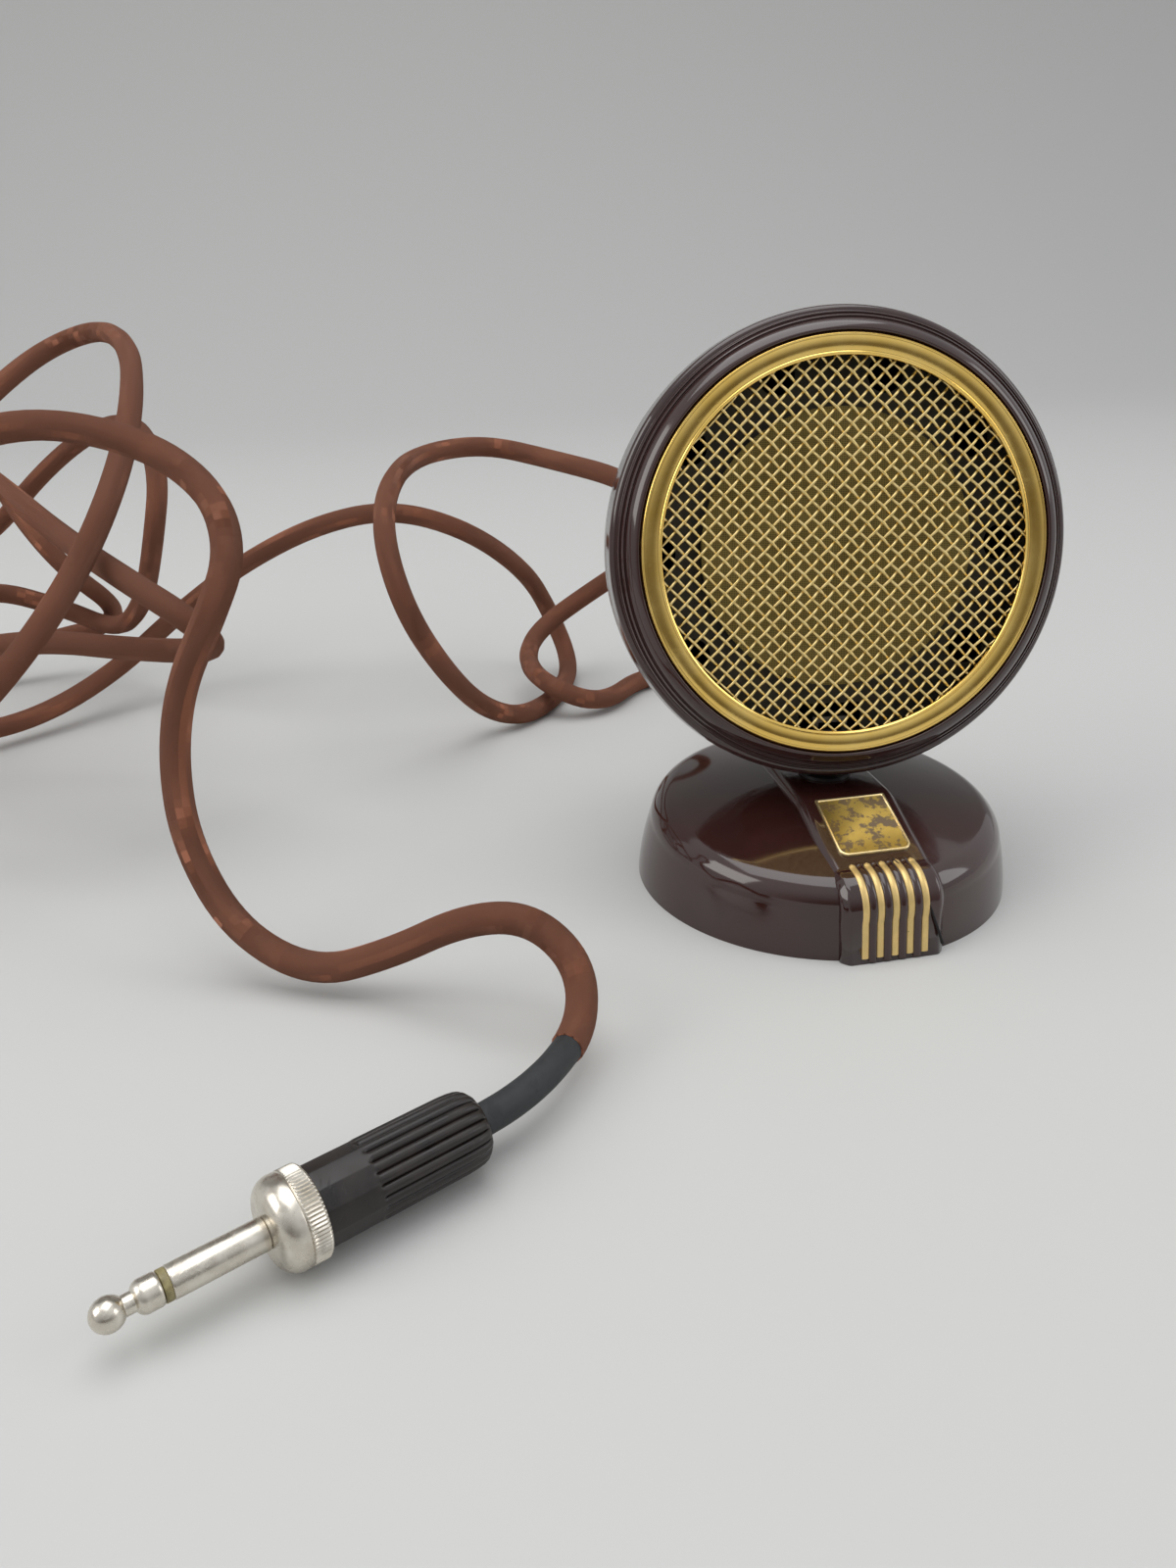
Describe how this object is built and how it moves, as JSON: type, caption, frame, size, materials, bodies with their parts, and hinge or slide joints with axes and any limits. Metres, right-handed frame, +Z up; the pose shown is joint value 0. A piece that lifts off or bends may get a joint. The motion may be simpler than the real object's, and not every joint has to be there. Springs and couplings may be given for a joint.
{
  "type": "table microphone",
  "caption": "Table microphone: round head with a woven brass grille on a tilting, turning post, domed dark foot with a bare brass plate, braided cord and jack plug.",
  "frame": {"origin": "middle of the foot on the table, on the post's axis", "axes": "+Z up, the foot faces -Y with its plate, +X to the right"},
  "size_m": [0.3919, 0.4342, 0.1575],
  "materials": {
    "bakelite": "polished dark maroon phenolic moulding",
    "plug_bakelite": "worn black-brown phenolic moulding",
    "brass": "polished and lacquered brass",
    "bush_brass": "turned brass",
    "gauze": "fine dull brass gauze",
    "badge_brass": "aged brass plate with a bright rim",
    "gilt": "pale gilt inlay, lightly worn",
    "steel": "plated steel",
    "black_steel": "blackened steel",
    "weight_iron": "cast iron",
    "felt": "pressed felt",
    "capsule_metal": "plain aluminium",
    "rubber": "matt black rubber",
    "braid": "rust-brown braided textile",
    "nickel": "worn nickel plate",
    "insulator": "yellowed insulating ring"
  },
  "bodies": {
    "foot": {"base_shell": "bakelite", "badge_plate": "badge_brass", "gilt_stripe_1": "gilt", "gilt_stripe_2": "gilt", "gilt_stripe_3": "gilt", "gilt_stripe_4": "gilt", "gilt_stripe_5": "gilt", "base_screw_1": "steel", "base_screw_2": "steel", "base_screw_3": "steel", "base_cover": "steel", "felt_pad": "felt", "base_weight": "weight_iron", "post_bush": "bush_brass", "cord_grommet": "rubber", "plug_tip": "nickel", "plug_insulator": "insulator", "plug_shaft": "nickel", "plug_collar": "nickel", "plug_handle": "plug_bakelite", "plug_sleeve": "rubber", "cord": "braid"},
    "post": {"swivel_post": "black_steel", "post_washer": "steel", "post_nut": "steel"},
    "head": {"head_bezel": "bakelite", "rear_shell": "bakelite", "grille_ring": "brass", "grille_warp": "brass", "grille_weft": "brass", "grille_clip": "steel", "fine_gauze": "gauze", "capsule_body": "capsule_metal", "capsule_magnet": "capsule_metal", "capsule_cushion": "rubber", "capsule_plate": "capsule_metal", "hinge_bracket": "steel", "hinge_pin": "steel"}
  },
  "joints": [
    {"name": "post_swivel", "type": "hinge", "parent": "foot", "child": "post", "pos_m": [0, 0, 0.02], "axis": [0, 0, 1], "range_deg": [-52.6, 67.4]},
    {"name": "head_tilt", "type": "hinge", "parent": "post", "child": "head", "pos_m": [0.00019, 0.00149, 0.042], "axis": [0.9917, -0.1288, 0], "range_deg": [-13, 12]}
  ]
}
